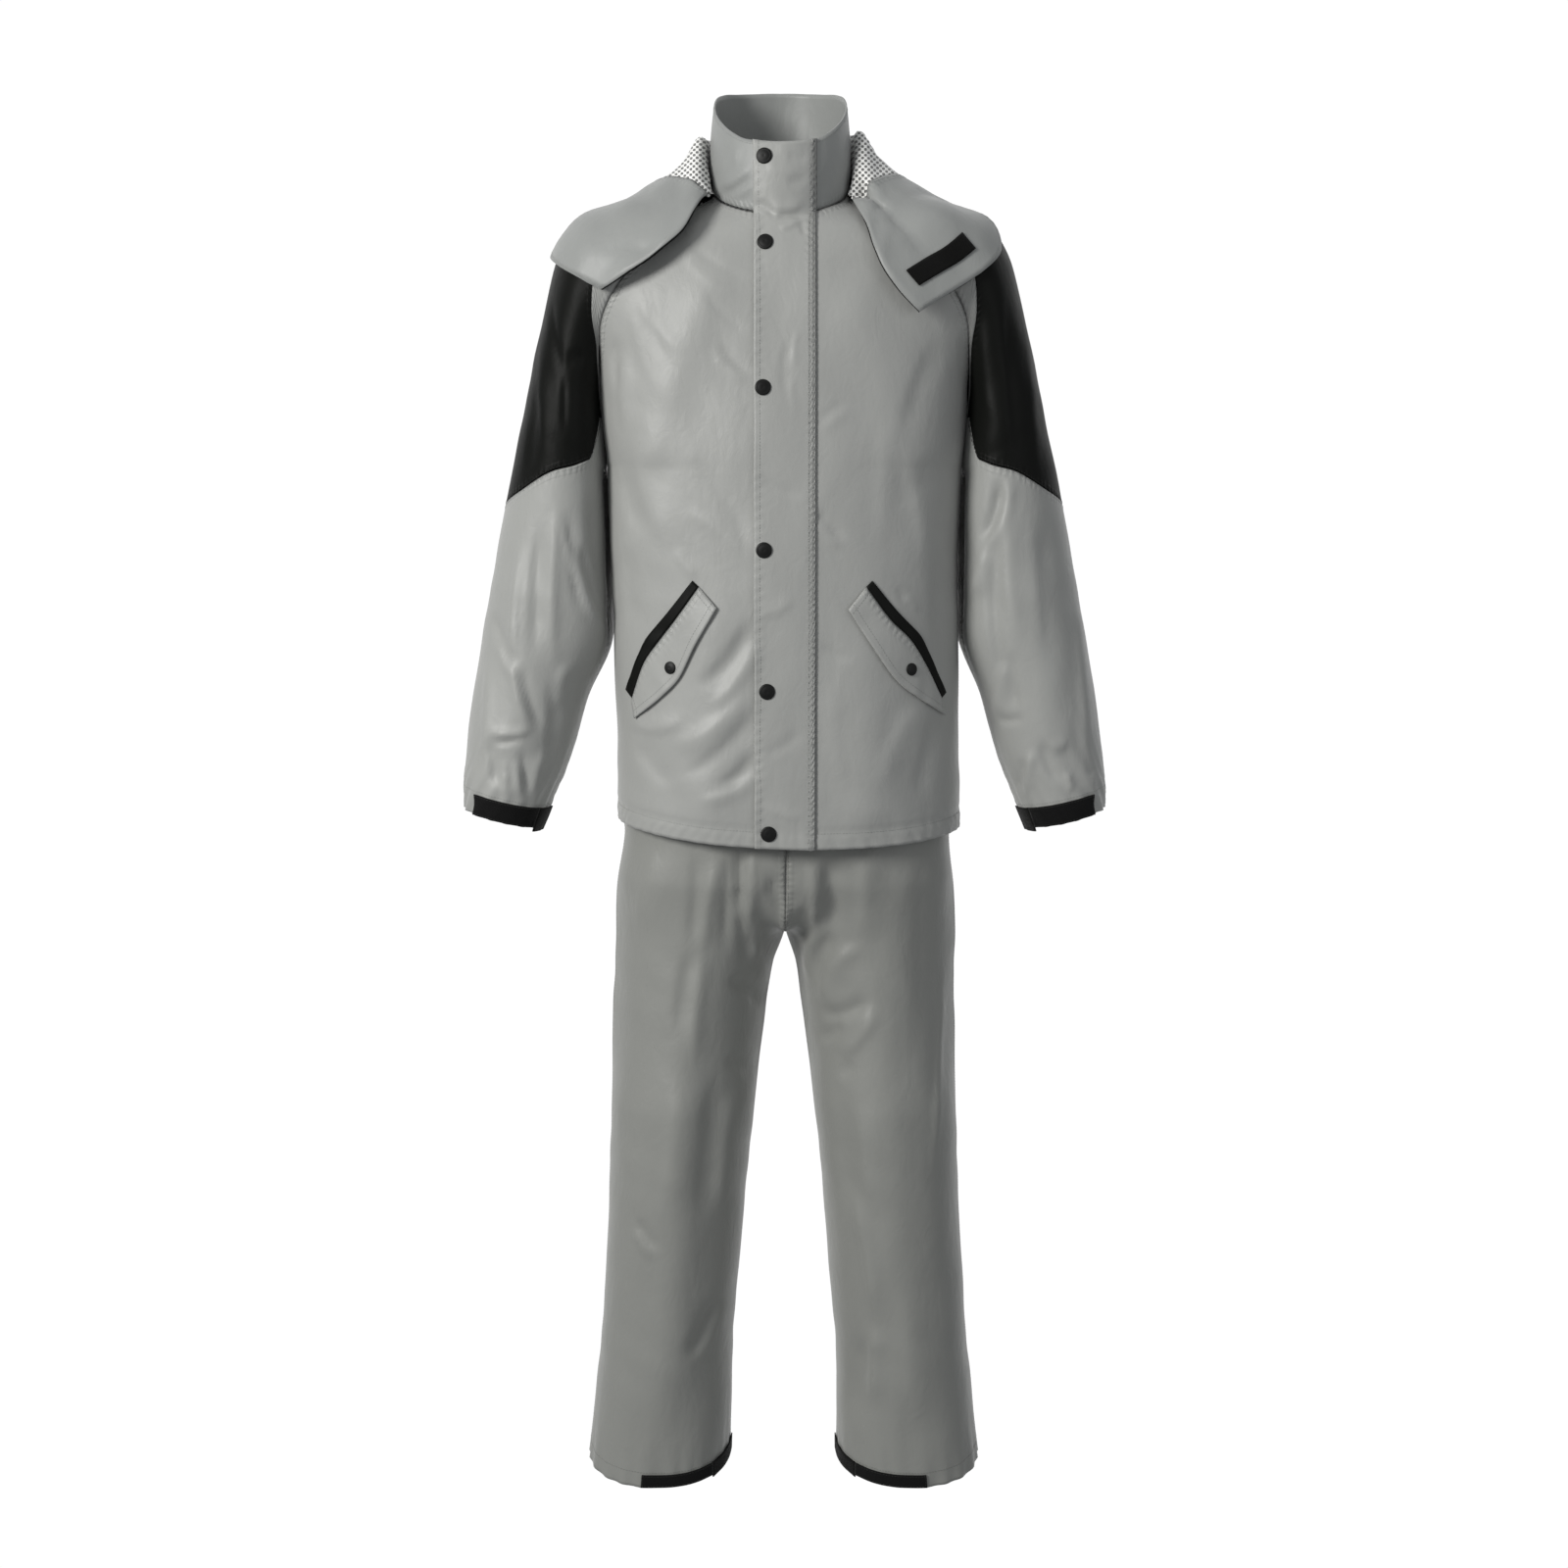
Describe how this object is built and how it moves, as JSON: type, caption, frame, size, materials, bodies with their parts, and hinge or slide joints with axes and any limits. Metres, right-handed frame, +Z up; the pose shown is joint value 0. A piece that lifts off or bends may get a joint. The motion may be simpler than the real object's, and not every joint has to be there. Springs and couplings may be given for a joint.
{
  "type": "rain suit",
  "caption": "Hooded waterproof jacket with raglan sleeves, stand collar, storm flap and slanting pockets, over matching straight trousers, in worn shape.",
  "frame": {"origin": "between the wearer's shoulders, at the middle of the jacket's neck seam, where the wearer holds the suit up", "axes": "+Z up, +X to the wearer's left, which is the picture's right, -Y to the front"},
  "size_m": [0.6956, 0.346, 1.5159],
  "materials": {
    "shell_grey": "matt coated nylon, warm light grey",
    "shell_black": "matt coated nylon, black",
    "trouser_grey": "matt coated nylon, mid grey",
    "net": "light grey knitted net",
    "tape": "black woven tape",
    "hook_tape": "black hook and loop tape",
    "snap": "satin black press studs"
  },
  "bodies": {
    "root": {"front_left": "shell_grey", "sleeve_shoulder_left": "shell_black", "sleeve_lower_left": "shell_grey", "front_right": "shell_grey", "sleeve_shoulder_right": "shell_black", "sleeve_lower_right": "shell_grey", "back": "shell_grey", "collar": "shell_grey", "storm_flap": "shell_grey", "snap_1": "snap", "snap_2": "snap", "snap_3": "snap", "snap_4": "snap", "snap_5": "snap", "snap_6": "snap", "pocket_welt_right": "shell_black", "pocket_flap_right": "shell_grey", "pocket_welt_left": "shell_black", "pocket_flap_left": "shell_grey", "pocket_snap_right": "snap", "pocket_snap_left": "snap", "cuff_tape_right": "tape", "cuff_tab_right": "hook_tape", "cuff_tape_left": "tape", "cuff_tab_left": "hook_tape", "hood_shell": "shell_black", "hood_net": "net", "hood_facing": "shell_grey", "hood_hook_tape": "hook_tape", "trouser_front_left": "trouser_grey", "trouser_front_right": "trouser_grey", "trouser_back_left": "trouser_grey", "trouser_back_right": "trouser_grey", "waistband": "trouser_grey", "hem_tape_right": "tape", "hem_tab_right": "hook_tape", "hem_tape_left": "tape", "hem_tab_left": "hook_tape"}
  },
  "joints": []
}
